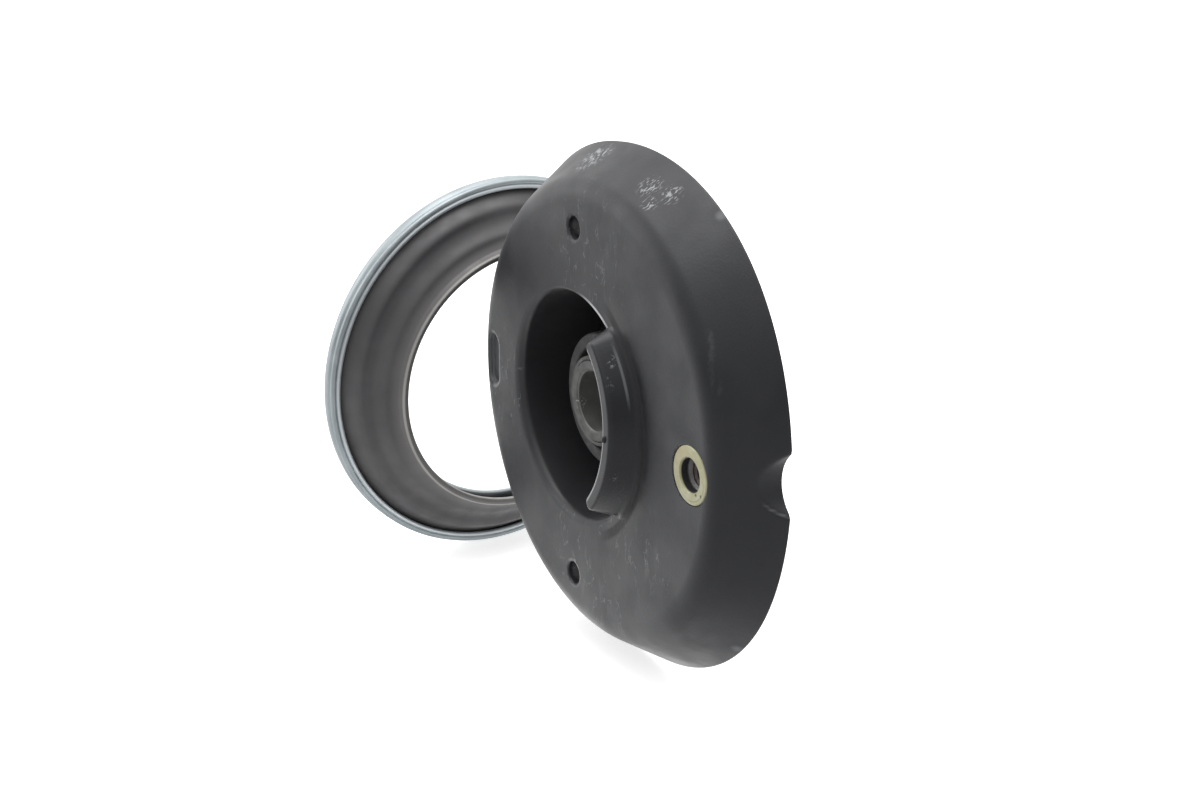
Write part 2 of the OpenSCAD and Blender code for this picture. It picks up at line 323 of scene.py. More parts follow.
def vectors(tree, operation, first, second=None):
    """What a vector node gives for one vector, or for a vector and a fixed one."""
    node = tree.nodes.new("ShaderNodeVectorMath")
    node.operation = operation
    tree.links.new(first, node.inputs[0])
    if second is not None:
        node.inputs[1].default_value = second
    return node.outputs


def near(tree, coords, place, reach):
    """1 at a place on the piece, fading to 0 at the reach."""
    return graded(tree, vectors(tree, "DISTANCE", coords, place)["Value"], reach * 0.3, reach, 1.0, 0.0)


def marks(tree, coords, places, spread=1.0):
    """1 at each of some places, fading to 0 at each one's reach."""
    return largest(tree, *[near(tree, coords, place, reach * spread) for place, reach in places])


def bumped(tree, surface, height, depth, strength=1.0):
    """A fine relief on the surface."""
    node = tree.nodes.new("ShaderNodeBump")
    node.inputs["Strength"].default_value = strength
    node.inputs["Distance"].default_value = depth
    tree.links.new(height, node.inputs["Height"])
    tree.links.new(node.outputs["Normal"], surface.inputs["Normal"])


BLACK_RUBBER = (0.011, 0.0115, 0.0145)
GREYED_RUBBER = (0.020, 0.0205, 0.0235)
SHADE_PAINTED_RUBBER = (0.008, 0.0092, 0.0125)
COLLAR_RUBBER = (0.004, 0.0048, 0.0075)
STRIP_RUBBER = (0.012, 0.013, 0.016)
PAINTED_FOOT_SHADE = (0.004, 0.0042, 0.0055)
HOLE_RUBBER = (0.030, 0.030, 0.033)
PAINTED_RECESS_LIGHT = (0.10, 0.104, 0.107)
PALE_RUB = (0.09, 0.094, 0.098)
PALE_SCUFF = (0.19, 0.195, 0.20)
CHALK = (0.34, 0.35, 0.36)
STREAK_GREY = (0.11, 0.115, 0.12)
FLUTE_EDGE_HIGHLIGHT = (0.15, 0.155, 0.16)
PALE_RIM_PATCH = (0.22, 0.23, 0.24)
PAINTED_HOLE_HIGHLIGHT = (0.48, 0.49, 0.50)
PAINTED_RECESS_HIGHLIGHT = (0.17, 0.175, 0.18)
PALE_LOCATING_RING = (0.10, 0.104, 0.108)
WORN_STRIP_AND_HIGHLIGHT = (0.30, 0.305, 0.31)
PALE_SPOT_AND_HIGHLIGHT = (0.17, 0.18, 0.19)
RUB_PLACES = (((0.009, FACE_Y, -0.040), 0.026), ((0.021, FACE_Y, -0.026), 0.014),
              ((-0.0398, FACE_Y, -0.006), 0.018), ((0.036, FACE_Y, -0.029), 0.014),
              ((0.006, FACE_Y, 0.043), 0.022))
CHALK_PLACES = (((-0.0070, -0.0100, 0.0650), 0.0075), ((-0.0045, -0.0085, 0.0665), 0.0045),
                ((0.0240, -0.0114, 0.0638), 0.0045), ((0.0312, -0.0094, 0.0628), 0.0040),
                ((0.0284, -0.0140, 0.0603), 0.0030))
DUST_PLACE = (0.0200, FACE_Y, -0.0240)
STREAK_TOP = Vector((0.0592, -0.0165, 0.0356))
STREAK_FOOT = Vector((0.0650, -0.0174, 0.0237))
FLUTE_PLACE = (0.0750, -0.0065, -0.0060)
RIM_PLACES = (((0.0453, -0.0039, 0.0597), 0.0022), ((0.0578, -0.0043, -0.0494), 0.0025))
HOLE_HIGHLIGHT_PLACE = (0.0170, FACE_Y, 0.0265)
SPOT_PLACES = ((0.0254, -0.0228, 0.0207), (0.0259, -0.0234, 0.0197), (0.0276, -0.0252, 0.0166),
               (0.0286, -0.0252, 0.0145), (0.0304, -0.0252, -0.0089))
FLANK_HIGHLIGHT_PLACE = (0.0288, FACE_Y - 0.0017, 0.0175)
dome_black, tree, surface = shader("dome_black")
coords = own_coords(tree)
along_x, along_y, along_z = split(tree, coords)
below_face = past(tree, along_y, FACE_Y)
rod_r = distance(tree, along_x, along_z)
collar_side = graded(tree, along_x, 0.014, 0.021)

# Clean rubber, clouded, with painted shade that darkens it towards the shaded side, where the insert is
broad, drawn = noise(tree, coords, 45, 5), noise(tree, coords, 130, 5, (1, 1, 0.2))
cloud = graded(tree, worked(tree, "ADD", product(tree, broad, 0.5), product(tree, drawn, 0.5)), 0.38, 0.62)
colour = painted(tree, cloud, BLACK_RUBBER, GREYED_RUBBER)
colour = painted(tree, graded(tree, along_x, -0.005, 0.050), colour, SHADE_PAINTED_RUBBER, 0.75)

# Pale rubs on the face, with hairline scuffs in and round them
fine_rub = graded(tree, noise(tree, coords, 420, 6, (1, 1, 0.3)), 0.55, 0.75)
colour = painted(tree, product(tree, fine_rub, marks(tree, coords, RUB_PLACES)), colour, PALE_RUB, 0.4)
hairline = worked(tree, "ABSOLUTE", past(tree, noise(tree, coords, 240, 5, (1, 1, 0.4)), 0.5))
broken = graded(tree, noise(tree, coords, 330, 4), 0.46, 0.60)
scuffed = product(tree, graded(tree, hairline, 0.012, 0.003), broken, marks(tree, coords, RUB_PLACES, 1.2))
colour = painted(tree, scuffed, colour, PALE_SCUFF, 0.5)

# Chalk on the top of the wall, a patch of dust on the face and a streak down the wall
chalk_grain = graded(tree, noise(tree, coords, 1300, 6, (1.5, 0.35, 0.9)), 0.52, 0.60)
chalky = product(tree, chalk_grain, marks(tree, coords, CHALK_PLACES))
dust_grain = graded(tree, noise(tree, coords, 1300, 4), 0.48, 0.60)
dusty = product(tree, dust_grain, near(tree, coords, DUST_PLACE, 0.0032))
colour = painted(tree, largest(tree, chalky, dusty), colour, CHALK, 0.75)
streak_grain = graded(tree, noise(tree, coords, 300, 6, (1, 1, 0.4)), 0.42, 0.66)
streak_places = [(STREAK_TOP.lerp(STREAK_FOOT, i / 8), 0.0019) for i in range(9)]
streaked = product(tree, streak_grain, marks(tree, coords, streak_places))
colour = painted(tree, streaked, colour, STREAK_GREY, 0.25)

# A painted highlight along the flute's lower edge, where its cylinder meets the cone of the wall, and two
# paler patches on the rim
from_flute = distance(tree, past(tree, along_x, FLUTE_X), past(tree, along_z, FLUTE_RISE))
dome_r = distance(tree, past(tree, along_x, DOME_X), along_z)
wall_slope = (RIM_R - RIM_WANDER * 0.9 - wall_r) / (DOME_H + wall_z)
wall_here = worked(tree, "ADD", product(tree, along_y, wall_slope), wall_r - wall_slope * (FACE_Y - wall_z))
off_wall = worked(tree, "ABSOLUTE", past(tree, wall_here, dome_r))
off_flute = worked(tree, "ABSOLUTE", past(tree, from_flute, FLUTE_R))
flute_edge = graded(tree, worked(tree, "ADD", off_wall, off_flute), 0.0006, 0.0002)
lower_half = graded(tree, along_z, -0.0020, -0.0050)
# Painted highlight: a bright line along the flute's lower edge
flute_edge_highlight_mask = product(tree, flute_edge, lower_half, near(tree, coords, FLUTE_PLACE, 0.0080))
colour = painted(tree, flute_edge_highlight_mask, colour, FLUTE_EDGE_HIGHLIGHT, 0.6)
colour = painted(tree, marks(tree, coords, RIM_PLACES), colour, PALE_RIM_PATCH, 0.4)

# Inside the hole, a painted highlight along its upper edge, and painted shade round the foot of the collar
in_hole = product(tree, graded(tree, rod_r, 0.0335, 0.0312), graded(tree, below_face, 0.0004, 0.0016))
colour = painted(tree, in_hole, colour, HOLE_RUBBER, 0.85)
# Painted highlight: a bright line on the hole's upper edge, where the edge catches the light
hole_highlight = product(tree, graded(tree, rod_r, 0.0324, 0.0321), graded(tree, below_face, 0.0010, 0.0004))
hole_highlight = product(tree, hole_highlight, near(tree, coords, HOLE_HIGHLIGHT_PLACE, 0.0170))
colour = painted(tree, hole_highlight, colour, PAINTED_HOLE_HIGHLIGHT)
# Painted shade: the face darkens round the collar's foot, standing in for the collar's shadow and dark
# reflection
foot_shade = product(tree, graded(tree, rod_r, 0.0425, 0.0360), collar_side)
colour = painted(tree, foot_shade, colour, PAINTED_FOOT_SHADE, 0.7)

# The oval recess, painted lighter inside against the shade in it, with a painted highlight along the rim on
# its side towards the middle, and the rings round the locating holes
from_middle = worked(tree, "ABSOLUTE", past(tree, along_z, RECESS_Y))
past_end = largest(tree, past(tree, from_middle, RECESS_HALF), 0.0)
across_recess = past(tree, along_x, RECESS_X)
from_recess = distance(tree, past_end, across_recess)
# Painted light: the inside of the recess is lifted against its shade
colour = painted(tree, graded(tree, from_recess, 0.0036, 0.0030), colour, PAINTED_RECESS_LIGHT)
# Painted highlight along the recess's eased rim, on its side towards the middle
recess_highlight = band(tree, from_recess, (0.0032, 0.0036), (0.0046, 0.0042))
recess_highlight = product(tree, recess_highlight, graded(tree, across_recess, -0.0010, 0.0010))
colour = painted(tree, recess_highlight, colour, PAINTED_RECESS_HIGHLIGHT, 0.7)
from_hole = distance(tree, past(tree, worked(tree, "ABSOLUTE", along_z), LOCATING_R), along_x)
hole_ring = band(tree, from_hole, (0.0033, 0.0036), (0.0043, 0.0039))
hole_ring = product(tree, hole_ring, graded(tree, along_z, 0.02, -0.02, 0.1, 0.6))
colour = painted(tree, hole_ring, colour, PALE_LOCATING_RING)

# The half collar above the face: its flanks, top strip, the strip's worn inner edge with a painted
# highlight on it, pale spots that are partly scuffs and partly painted highlights, and a painted highlight
# line low on the outer flank
standing = graded(tree, below_face, 0.0001, -0.0008)
colour = painted(tree, standing, colour, COLLAR_RUBBER)
on_top = product(tree, standing, graded(tree, below_face, -0.0042, -0.0052))
strip = product(tree, on_top, graded(tree, rod_r, 0.0317, 0.0310))
colour = painted(tree, strip, colour, STRIP_RUBBER)
# The strip's inner edge: worn, and painted with a highlight
strip_edge_wear_and_highlight = product(tree, on_top, graded(tree, rod_r, 0.0285, 0.0281))
colour = painted(tree, strip_edge_wear_and_highlight, colour, WORN_STRIP_AND_HIGHLIGHT)
# Pale spots on the outer flank: partly scuffs, partly painted highlights
spot_grain = graded(tree, noise(tree, coords, 1100, 3, (1, 1, 0.6)), 0.50, 0.60)
spots_and_glints = product(tree, marks(tree, coords, [(place, 0.0014) for place in SPOT_PLACES]), spot_grain)
# Painted highlight: a thin light line low on the outer flank, near its foot
flank_highlight = band(tree, below_face, (-0.0013, -0.0016), (-0.0022, -0.0019))
flank_highlight = product(tree, flank_highlight, near(tree, coords, FLANK_HIGHLIGHT_PLACE, 0.0105), 0.6)
colour = painted(tree, largest(tree, spots_and_glints, flank_highlight), colour, PALE_SPOT_AND_HIGHLIGHT)
tree.links.new(colour, surface.inputs["Base Color"])

# Matt rubber, with more shine on the collar's flanks and foot and less on the fillet between them
matt = graded(tree, noise(tree, coords, 90, 4), 0.3, 0.7, 0.36, 0.50)
shine = product(tree, largest(tree, past(tree, standing, strip), foot_shade), 0.12)
fillet = product(tree, band(tree, rod_r, (0.0340, 0.0346), (0.0375, 0.0362)), collar_side)
dulled = worked(tree, "ADD", worked(tree, "SUBTRACT", matt, shine), product(tree, fillet, 0.30))
tree.links.new(dulled, surface.inputs["Roughness"])
grain = worked(tree, "ADD", noise(tree, coords, 1400, 3), product(tree, noise(tree, coords, 160, 3), 0.6))
bumped(tree, surface, grain, 0.00010, 0.25)
surface.inputs["Specular IOR Level"].default_value = 0.5
surface.inputs["Sheen Weight"].default_value = 0.14
surface.inputs["Sheen Roughness"].default_value = 0.25
dome.data.materials.clear()
dome.data.materials.append(dome_black)
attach(dome, "mount")
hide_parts("rubber_dome")

# Half collar: part of the dome's moulding, a thick curved wall that stands on the near half of the hole.
# Its outer face leans in and runs into the face through a fillet, and its top is a narrow rubbed strip.
# A small gate mark is left on the strip.
COLLAR_R = 0.0342
COLLAR_DRAFT = 0.0030
COLLAR_H = 0.0072
COLLAR_TILT = 0.0011
COLLAR_IN_R = 0.0274
COLLAR_ROOT = 0.0036
COLLAR_FOOT = 0.0022
COLLAR_FROM, COLLAR_TO = math.radians(-39), math.radians(49)
STRIP_EDGE = 0.0008
STRIP_HALF = (COLLAR_R - COLLAR_DRAFT - COLLAR_IN_R) / 2
STRIP_R = COLLAR_IN_R + STRIP_HALF
NUB_X, NUB_Y = 0.0288, 0.0010
NUB_HALF_X, NUB_HALF_Y, NUB_H = 0.0006, 0.0010, 0.0008
NUB_SUNK = 0.0001


def crease(piece, degrees):
    """Keeps the turned edges crisp while the round surfaces stay smooth."""
    limit = math.radians(degrees)
    edit = bmesh.new()
    edit.from_mesh(piece.data)
    for edge in edit.edges:
        edge.smooth = not (len(edge.link_faces) == 2 and edge.calc_face_angle(0) > limit)
    edit.to_mesh(piece.data)
    edit.free()


def collar_top(a):
    """Height of the top strip, which rises a little towards the lower end."""
    return COLLAR_H - COLLAR_TILT * math.sin(a) / math.sin(COLLAR_TO)


def outer_flank(top):
    """The outer side from the strip down, as distances from the strip's middle line and heights."""
    lean = math.atan(COLLAR_DRAFT / top)
    foot = COLLAR_R - STRIP_R + COLLAR_FOOT * (1 - math.sin(lean)) / math.cos(lean)
    down = [(0.3 * STRIP_HALF, top)]
    down += arc((STRIP_HALF - STRIP_EDGE, top - STRIP_EDGE), STRIP_EDGE, 90, math.degrees(lean), 5)
    down += arc((foot, COLLAR_FOOT + 0.00002), COLLAR_FOOT, 180 + math.degrees(lean), 270, 9)
    return down + [(COLLAR_R - STRIP_R, -COLLAR_ROOT)]


def inner_flank(top):
    """The inner side, with as many points as the outer one, so that the ends can turn between the two."""
    down = [(0.3 * STRIP_HALF, top)]
    down += arc((STRIP_HALF - STRIP_EDGE, top - STRIP_EDGE), STRIP_EDGE, 90, 0, 5)
    below = top - STRIP_EDGE + COLLAR_ROOT
    return down + [(STRIP_HALF, top - STRIP_EDGE - below * i / 11) for i in range(1, 12)]


STATIONS, CAP = 72, 10
along = [COLLAR_FROM + (COLLAR_TO - COLLAR_FROM) * i / STATIONS for i in range(STATIONS + 1)]
cap_turns = [math.pi * i / (CAP + 1) for i in range(1, CAP + 1)]
around = [(a, 0.0) for a in along] + [(COLLAR_TO, b) for b in cap_turns]
around += [(a, math.pi) for a in reversed(along)] + [(COLLAR_FROM, math.pi + b) for b in cap_turns]
levels = len(outer_flank(COLLAR_H))
collar_points = []
for level in range(levels):
    for a, b in around:
        (out_u, out_z), (in_u, in_z) = outer_flank(collar_top(a))[level], inner_flank(collar_top(a))[level]
        share = (1 + math.cos(b)) / 2
        reach, z = share * out_u + (1 - share) * in_u, share * out_z + (1 - share) * in_z
        r, side = STRIP_R + reach * math.cos(b), reach * math.sin(b)
        x, y = r * math.cos(a) - side * math.sin(a), r * math.sin(a) + side * math.cos(a)
        collar_points.append(stood_up(x, y, z))
collar_faces = ring_faces(levels, len(around), False)
far_side = 2 * STATIONS + CAP + 1
for first in (0, (levels - 1) * len(around)):
    for i in range(STATIONS):
        collar_faces.append(tuple(first + k for k in (i, i + 1, far_side - i - 1, far_side - i)))
    collar_faces += [tuple(first + k for k in range(STATIONS, STATIONS + CAP + 2))]
    collar_faces += [tuple(first + k % len(around) for k in range(far_side, far_side + CAP + 2))]
collar = piece_from("half_collar", collar_points, collar_faces)
crease(collar, 60)
NUB_ROWS, NUB_TURNS = 7, 24
nub_points = []
for row in range(NUB_ROWS):
    lift = math.radians(15 * row)
    for k in range(NUB_TURNS):
        a = 2 * math.pi * k / NUB_TURNS
        x = NUB_X + NUB_HALF_X * math.cos(lift) * math.cos(a)
        y = NUB_Y + NUB_HALF_Y * math.cos(lift) * math.sin(a)
        nub_points.append(stood_up(x, y, COLLAR_H - NUB_SUNK + NUB_H * math.sin(lift)))
gate_nub = piece_from("gate_nub", nub_points, ring_faces(NUB_ROWS, NUB_TURNS, False))
for piece in (collar, gate_nub):
    piece.data.materials.append(dome_black)
    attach(piece, "mount")

# Carrier cup: pressed steel plate and cup, coated black, that the rubber is bonded to.
# Only the inside of the cup shows, deep in the hole, and the underside from behind.
CUP_BLACK = (0.006, 0.006, 0.007)
CUP_WORN = (0.011, 0.011, 0.012)
carrier_black, tree, surface = shader("carrier_black")
coords = own_coords(tree)
cloud = graded(tree, noise(tree, coords, 80, 4), 0.35, 0.7)
tree.links.new(painted(tree, cloud, CUP_BLACK, CUP_WORN), surface.inputs["Base Color"])
tree.links.new(graded(tree, noise(tree, coords, 200, 3), 0.3, 0.7, 0.5, 0.65), surface.inputs["Roughness"])
bumped(tree, surface, noise(tree, coords, 700, 3), 0.0001, 0.4)
carrier = frame["nodes"]["carrier_cup"]
carrier.data.materials.clear()
carrier.data.materials.append(carrier_black)

# Rod bush: black rubber moulded between the cup and the sleeve.
# A raised ring stands round the sleeve, with a groove between the two.
STEP_R = 0.0123
BUSH_END = -0.026
BUSH_DEEP_SHADE = (0.006, 0.006, 0.006)
BUSH_BLACK = (0.024, 0.025, 0.026)
BUSH_GREY = (0.044, 0.044, 0.044)


def lathe(name, outline, place, turns=192):
    """A closed outline of radius and height turned once round its axis."""
    points = []
    for r, h in outline:
        for k in range(turns):
            a = 2 * math.pi * k / turns
            points.append(place(r * math.cos(a), r * math.sin(a), h))
    return piece_from(name, points, ring_faces(len(outline), turns, True))


# From the bore up to the groove, over the raised ring, and down its flank to the web at the cup
bush_outline = [(STEP_R, BUSH_END), (STEP_R, -0.0112)] + arc((0.0138, -0.0112), 0.0008, 260, 350, 4)
bush_outline += arc((0.0154, -0.0092), 0.0008, 180, 90, 5) + arc((0.0172, -0.0094), 0.0010, 90, 10, 6)
bush_outline += [(0.0190, -0.0238)] + arc((0.0204, -0.0238), 0.0012, 190, 265, 4)
bush_outline += [(HOLE_R, -0.0252), (HOLE_R, BUSH_END)]
bush = lathe("bush_moulding", bush_outline, stood_up)
crease(bush, 50)
bush_rubber, tree, surface = shader("bush_rubber")
coords = own_coords(tree)
_, along_y, _ = split(tree, coords)
# Painted shade: the bush is darker deeper down in the well
top = graded(tree, past(tree, along_y, FACE_Y), 0.0150, 0.0085)
cloud = graded(tree, noise(tree, coords, 260, 5), 0.35, 0.7)
colour = painted(tree, cloud, BUSH_BLACK, BUSH_GREY)
tree.links.new(painted(tree, top, BUSH_DEEP_SHADE, colour), surface.inputs["Base Color"])
tree.links.new(graded(tree, noise(tree, coords, 400, 3), 0.3, 0.7, 0.5, 0.7), surface.inputs["Roughness"])
bumped(tree, surface, noise(tree, coords, 600, 4), 0.0002, 0.6)
bush.data.materials.append(bush_rubber)
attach(bush, "mount")
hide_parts("rod_bush")

# Rod sleeve: steel turned on a lathe, with a chamfered bore and a small step below its top.
# The rod's end passes through it and the rod's nut clamps on its top.
BORE_R = 0.00825
SLEEVE_TOP = -0.0058
SLEEVE_END = -0.0338
SLEEVE_R = 0.0110
CHAMFER = 0.0006
TOP_EDGE = 0.0003
GROOVE_W = 0.0003
GROOVE_DEPTH = 0.0010
END_EDGE = 0.0005
SLEEVE_GREY = (0.120, 0.120, 0.116)
SLEEVE_STAIN = (0.085, 0.084, 0.080)
BORE_GREY = (0.16, 0.159, 0.153)
SLEEVE_SPECK = (0.55, 0.55, 0.53)
SPECK_PLACE = (-0.0080, -0.0130, -0.0030)
sleeve_outline = [(BORE_R, SLEEVE_END + CHAMFER), (BORE_R, SLEEVE_TOP - CHAMFER)]
sleeve_outline += [(BORE_R + CHAMFER, SLEEVE_TOP - 0.0001)]
sleeve_outline += arc((SLEEVE_R - TOP_EDGE, SLEEVE_TOP - TOP_EDGE), TOP_EDGE, 90, 0, 4)
sleeve_outline += [(SLEEVE_R, SLEEVE_TOP - GROOVE_DEPTH), (SLEEVE_R + GROOVE_W, SLEEVE_TOP - GROOVE_DEPTH)]
sleeve_outline += [(SLEEVE_R + GROOVE_W, SLEEVE_TOP - 0.0005)]
sleeve_outline += [(STEP_R - 0.0002, SLEEVE_TOP - 0.0004), (STEP_R, SLEEVE_TOP - 0.0006)]
sleeve_outline += [(STEP_R, SLEEVE_END + END_EDGE), (STEP_R - END_EDGE, SLEEVE_END)]
sleeve_outline += [(BORE_R + CHAMFER, SLEEVE_END)]
sleeve = lathe("sleeve_turning", sleeve_outline, stood_up)
crease(sleeve, 25)
sleeve_steel, tree, surface = shader("sleeve_steel")
coords = own_coords(tree)
along_x, _, along_z = split(tree, coords)
sleeve_r = distance(tree, along_x, along_z)
stain = graded(tree, noise(tree, coords, 300, 5), 0.4, 0.7)
colour = painted(tree, stain, SLEEVE_GREY, SLEEVE_STAIN)
colour = painted(tree, graded(tree, sleeve_r, BORE_R + 0.0004, BORE_R + 0.0001), colour, BORE_GREY)
speck_grain = graded(tree, noise(tree, coords, 1700, 3), 0.58, 0.66)
specks = product(tree, speck_grain, near(tree, coords, SPECK_PLACE, 0.0022))
tree.links.new(painted(tree, specks, colour, SLEEVE_SPECK), surface.inputs["Base Color"])
surface.inputs["Metallic"].default_value = 0.55
tree.links.new(graded(tree, noise(tree, coords, 350, 4), 0.3, 0.7, 0.42, 0.62), surface.inputs["Roughness"])
turned_lines = noise(tree, sleeve_r, 9000, 2)
bumped(tree, surface, turned_lines, 0.00004, 0.5)
sleeve.data.materials.append(sleeve_steel)
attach(sleeve, "mount")
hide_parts("rod_sleeve")

# Threaded insert: a flanged steel bush, zinc-plated and passivated yellow.
# It is moulded into the dome over the plate, with its flange flush in the face.
# The mouth is plain and the thread starts at a step below it.
FLANGE_R = 0.0076
FLANGE_T = 0.0016
FLANGE_EDGE = 0.0005
FLANGE_PROUD = 0.00005
LEAD_R = 0.0043
LEAD_DEPTH = 0.0022
LEAD_EDGE = 0.0004
CONE_DEPTH = 0.0029
THREAD_R = 0.0034
THREAD_CUT = 0.0006
THREAD_PITCH = 0.00125
THREAD_BACK_R = 0.0042
INSERT_END = -0.0146
BARREL_R = 0.0056
YELLOW = (0.37, 0.358, 0.212)
PALE_YELLOW = (0.43, 0.425, 0.288)
TAN = (0.40, 0.35, 0.215)
DARK_ARC_YELLOW = (0.20, 0.195, 0.11)
LEAD_DARK = (0.050, 0.047, 0.050)
CONE_GREY = (0.17, 0.165, 0.162)
THREAD_BROWN = (0.17, 0.14, 0.132)
DENT_BROWN = (0.10, 0.09, 0.05)
DARK_ARC_PLACE = (INSERT_X + 0.0035, FACE_Y, -0.0050)
DENT_PLACES = (((0.0607, FACE_Y, -0.0041), 0.0006), ((0.0629, FACE_Y, -0.0037), 0.0006))


def in_insert(x, y, z):
    """A point drawn round the insert's own axis, moved to where the mount stands."""
    return stood_up(INSERT_X + x, y, z)


insert_outline = [(LEAD_R, -LEAD_DEPTH), (LEAD_R, -LEAD_EDGE), (LEAD_R + LEAD_EDGE, FLANGE_PROUD)]
insert_outline += arc((FLANGE_R - FLANGE_EDGE, FLANGE_PROUD - FLANGE_EDGE), FLANGE_EDGE, 90, 0, 4)
insert_outline += [(FLANGE_R, -FLANGE_T), (BARREL_R, -FLANGE_T), (BARREL_R, INSERT_END)]
insert_outline += [(THREAD_BACK_R, INSERT_END), (THREAD_BACK_R, -LEAD_DEPTH - 0.0005)]
insert = lathe("insert_turning", insert_outline, in_insert, 96)
crease(insert, 25)
THREAD_ROWS, THREAD_TURNS = 100, 72
spokes = [2 * math.pi * k / THREAD_TURNS for k in range(THREAD_TURNS)]
step_r = LEAD_R + 0.0002
thread_points = [in_insert(step_r * math.cos(a), step_r * math.sin(a), -LEAD_DEPTH) for a in spokes]
for row in range(THREAD_ROWS + 1):
    z = -CONE_DEPTH + (INSERT_END + CONE_DEPTH) * row / THREAD_ROWS
    for k, a in enumerate(spokes):
        phase = (-z / THREAD_PITCH + k / THREAD_TURNS) % 1.0
        r = THREAD_R + THREAD_CUT * (1 - abs(2 * phase - 1))
        thread_points.append(in_insert(r * math.cos(a), r * math.sin(a), z))
thread = piece_from("insert_thread", thread_points, ring_faces(THREAD_ROWS + 2, THREAD_TURNS, False))
crease(thread, 60)
passivated, tree, surface = shader("passivated_zinc")
coords = own_coords(tree)
along_x, along_y, along_z = split(tree, coords)
below_face = past(tree, along_y, FACE_Y)
from_bore_x = past(tree, along_x, INSERT_X)
from_bore = distance(tree, from_bore_x, along_z)
stain = graded(tree, noise(tree, coords, 420, 5), 0.35, 0.7)
colour = painted(tree, stain, YELLOW, PALE_YELLOW)
tan_side = product(tree, graded(tree, along_z, -0.001, 0.006), graded(tree, from_bore_x, 0.003, -0.004))
colour = painted(tree, tan_side, colour, TAN, 0.7)
# A darker arc just inside the flange's edge, on its lower part
dark_arc = band(tree, from_bore, (0.0062, 0.0064), (0.0067, 0.0065))
dark_arc = product(tree, dark_arc, near(tree, coords, DARK_ARC_PLACE, 0.0075))
colour = painted(tree, dark_arc, colour, DARK_ARC_YELLOW, 0.6)
colour = painted(tree, graded(tree, below_face, 0.0001, 0.0005), colour, LEAD_DARK)
coned = graded(tree, below_face, LEAD_DEPTH - 0.0002, LEAD_DEPTH + 0.0001)
colour = painted(tree, coned, colour, CONE_GREY)
threaded = graded(tree, below_face, CONE_DEPTH - 0.0001, CONE_DEPTH + 0.0003)
colour = painted(tree, threaded, colour, THREAD_BROWN)
dents = marks(tree, coords, DENT_PLACES)
tree.links.new(painted(tree, dents, colour, DENT_BROWN), surface.inputs["Base Color"])
surface.inputs["Metallic"].default_value = 0.35
tree.links.new(graded(tree, noise(tree, coords, 600, 4), 0.3, 0.7, 0.32, 0.5), surface.inputs["Roughness"])
bumped(tree, surface, worked(tree, "SUBTRACT", noise(tree, coords, 900, 4), dents), 0.00012, 0.5)
for piece in (insert, thread):
    piece.data.materials.append(passivated)
    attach(piece, "mount")
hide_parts("threaded_insert")

# Thrust bearing, lower shell: sheet steel pressed to a cone with a ball race, plated with bright zinc.
# Its rim is rolled over the upper shell's edge in two beads, which holds the bearing together.
ZINC_GREY = (0.30, 0.338, 0.356)
ZINC_PALE = (0.37, 0.41, 0.425)
ZINC_PAINTED_HIGHLIGHT = (0.60, 0.645, 0.67)
turn = next(joint for joint in frame["joints"] if joint["name"] == "bearing_turn")
bearing_centre, bearing_axis = Vector(turn["pos_m"]), Vector(turn["axis"]).normalized()
bearing_side = Vector((0, 0, 1)).cross(bearing_axis).normalized()
bearing_up = bearing_axis.cross(bearing_side)


def in_bearing(x, y, h):
    """A point drawn with the bearing's seat at h = 0, moved to where the bearing leans."""
    return tuple(bearing_centre + bearing_side * x + bearing_up * y + bearing_axis * h)


def round_bearing(tree, coords):
    """Distance from the bearing's axis, and distance along it from the seat."""
    spoke = vectors(tree, "SUBTRACT", coords, bearing_centre)["Vector"]
    square_on = vectors(tree, "CROSS_PRODUCT", spoke, bearing_axis)["Vector"]
    height = vectors(tree, "DOT_PRODUCT", spoke, bearing_axis)["Value"]
    return vectors(tree, "LENGTH", square_on)["Value"], height


# Up the outside of the rim, over its two beads, along the race and the cone, and back under them
lower_outline = [(0.0564, -0.0016), (0.0572, -0.0013), (0.0578, -0.0006), (0.058, 0.0002)]
lower_outline += [(0.058, 0.0022), (0.05765, 0.0025), (0.05765, 0.0027)]
lower_outline += arc((0.0570, 0.0036), 0.0009, -20, 140, 9) + arc((0.0557, 0.0040), 0.00075, 70, 230, 10)
lower_outline += [(0.0564, 0.0030), (0.0564, 0.0), (0.0506, 0.0), (0.0480, 0.0010), (0.0410, 0.0093)]
lower_outline += arc((0.0400, 0.0087), 0.0008, 60, 270, 10)
lower_outline += [(0.0407, 0.0079), (0.0476, -0.0004), (0.0490, -0.0013), (0.0505, -0.0016)]
lower_shell = lathe("lower_shell_pressing", lower_outline, in_bearing, 256)
crease(lower_shell, 50)
bright_zinc, tree, surface = shader("bright_zinc")
coords = own_coords(tree)
zinc_r, zinc_h = round_bearing(tree, coords)
cloud = graded(tree, noise(tree, coords, 130, 5), 0.35, 0.7)
colour = painted(tree, cloud, ZINC_GREY, ZINC_PALE)
